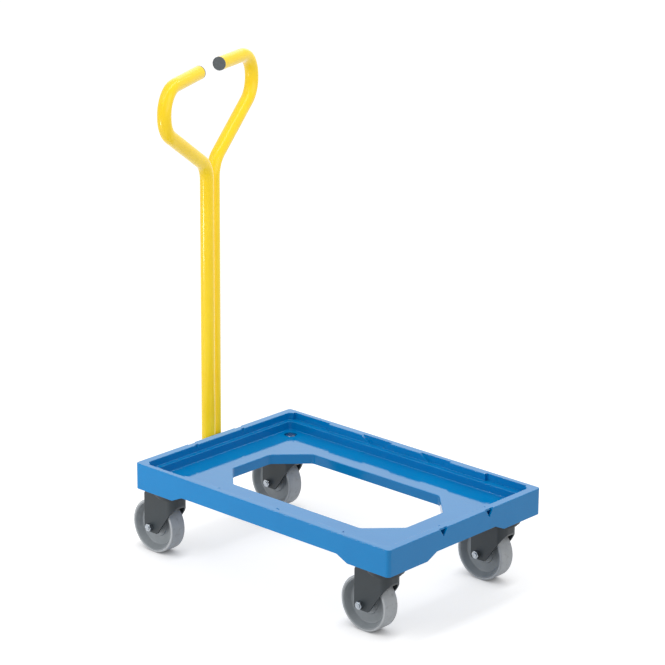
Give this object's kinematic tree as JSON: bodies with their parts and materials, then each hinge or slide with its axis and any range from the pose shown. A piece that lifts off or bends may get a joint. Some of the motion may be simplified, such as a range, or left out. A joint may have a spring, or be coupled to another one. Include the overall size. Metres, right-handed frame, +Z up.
{
  "type": "container dolly",
  "caption": "Moulded rectangular container dolly with a raised rim and an open middle, swivel casters and a plug-in push handle with a heart-shaped loop.",
  "frame": {"origin": "on the ground, at the middle of the whole outline's box", "axes": "+Z up, +X along the deck away from the handle, +Y across the deck to its left"},
  "size_m": [0.6914, 0.4, 0.867],
  "materials": {
    "deck_plastic": "glossy moulded blue plastic",
    "handle_paint": "yellow powder coat on steel tube",
    "cap_plastic": "dark grey moulded plastic",
    "fork_steel": "dark grey coated pressed steel",
    "race_steel": "zinc plated steel",
    "zinc_steel": "bright zinc plated steel",
    "ball_steel": "polished steel",
    "bush_nylon": "natural nylon",
    "wheel_plastic": "grey moulded plastic",
    "tyre_rubber": "grey non-marking rubber",
    "socket_steel": "dark grey coated steel"
  },
  "bodies": {
    "deck": {"deck_frame": "deck_plastic", "caster_bolts": "zinc_steel", "caster_washers": "zinc_steel", "caster_nuts": "zinc_steel", "handle_socket": "socket_steel", "socket_bolts": "zinc_steel", "socket_washers": "zinc_steel", "socket_nuts": "zinc_steel", "caster_head_front_left": "fork_steel", "caster_head_front_right": "fork_steel", "caster_head_rear_left": "fork_steel", "caster_head_rear_right": "fork_steel"},
    "handle_bush": {"handle_bush": "bush_nylon"},
    "handle": {"handle_foot": "handle_paint", "handle_tube_right": "handle_paint", "handle_tube_left": "handle_paint", "end_cap_right": "cap_plastic", "end_cap_left": "cap_plastic"},
    "swivel_front_left": {"fork_front_left": "fork_steel", "swivel_balls_front_left": "ball_steel", "thrust_ring_front_left": "race_steel", "axle_bolt_front_left": "zinc_steel", "axle_nut_front_left": "zinc_steel", "axle_sleeve_front_left": "zinc_steel"},
    "wheel_front_left": {"wheel_bushes_front_left": "bush_nylon", "wheel_core_front_left": "wheel_plastic", "tyre_front_left": "tyre_rubber"},
    "swivel_front_right": {"fork_front_right": "fork_steel", "swivel_balls_front_right": "ball_steel", "thrust_ring_front_right": "race_steel", "axle_bolt_front_right": "zinc_steel", "axle_nut_front_right": "zinc_steel", "axle_sleeve_front_right": "zinc_steel"},
    "wheel_front_right": {"wheel_bushes_front_right": "bush_nylon", "wheel_core_front_right": "wheel_plastic", "tyre_front_right": "tyre_rubber"},
    "swivel_rear_left": {"fork_rear_left": "fork_steel", "swivel_balls_rear_left": "ball_steel", "thrust_ring_rear_left": "race_steel", "axle_bolt_rear_left": "zinc_steel", "axle_nut_rear_left": "zinc_steel", "axle_sleeve_rear_left": "zinc_steel"},
    "wheel_rear_left": {"wheel_bushes_rear_left": "bush_nylon", "wheel_core_rear_left": "wheel_plastic", "tyre_rear_left": "tyre_rubber"},
    "swivel_rear_right": {"fork_rear_right": "fork_steel", "swivel_balls_rear_right": "ball_steel", "thrust_ring_rear_right": "race_steel", "axle_bolt_rear_right": "zinc_steel", "axle_nut_rear_right": "zinc_steel", "axle_sleeve_rear_right": "zinc_steel"},
    "wheel_rear_right": {"wheel_bushes_rear_right": "bush_nylon", "wheel_core_rear_right": "wheel_plastic", "tyre_rear_right": "tyre_rubber"}
  },
  "joints": [
    {"name": "handle_lift", "type": "slide", "parent": "deck", "child": "handle_bush", "axis": [0, 0, 1], "range_m": [0, 0.075]},
    {"name": "handle_turn", "type": "hinge", "parent": "handle_bush", "child": "handle", "pos_m": [-0.27025, 0, 0.114], "axis": [0, 0, 1], "range_deg": [-18, 160]},
    {"name": "swivel_turn_front_left", "type": "hinge", "parent": "deck", "child": "swivel_front_left", "pos_m": [0.29925, 0.153, 0.115], "axis": [0, 0, 1], "continuous": true},
    {"name": "wheel_roll_front_left", "type": "hinge", "parent": "swivel_front_left", "child": "wheel_front_left", "pos_m": [0.26325, 0.153, 0.05], "axis": [0, 1, 0], "continuous": true},
    {"name": "swivel_turn_front_right", "type": "hinge", "parent": "deck", "child": "swivel_front_right", "pos_m": [0.29925, -0.153, 0.115], "axis": [0, 0, 1], "continuous": true},
    {"name": "wheel_roll_front_right", "type": "hinge", "parent": "swivel_front_right", "child": "wheel_front_right", "pos_m": [0.26325, -0.153, 0.05], "axis": [0, 1, 0], "continuous": true},
    {"name": "swivel_turn_rear_left", "type": "hinge", "parent": "deck", "child": "swivel_rear_left", "pos_m": [-0.20775, 0.153, 0.115], "axis": [0, 0, 1], "continuous": true},
    {"name": "wheel_roll_rear_left", "type": "hinge", "parent": "swivel_rear_left", "child": "wheel_rear_left", "pos_m": [-0.24375, 0.153, 0.05], "axis": [0, 1, 0], "continuous": true},
    {"name": "swivel_turn_rear_right", "type": "hinge", "parent": "deck", "child": "swivel_rear_right", "pos_m": [-0.20775, -0.153, 0.115], "axis": [0, 0, 1], "continuous": true},
    {"name": "wheel_roll_rear_right", "type": "hinge", "parent": "swivel_rear_right", "child": "wheel_rear_right", "pos_m": [-0.24375, -0.153, 0.05], "axis": [0, 1, 0], "continuous": true}
  ]
}
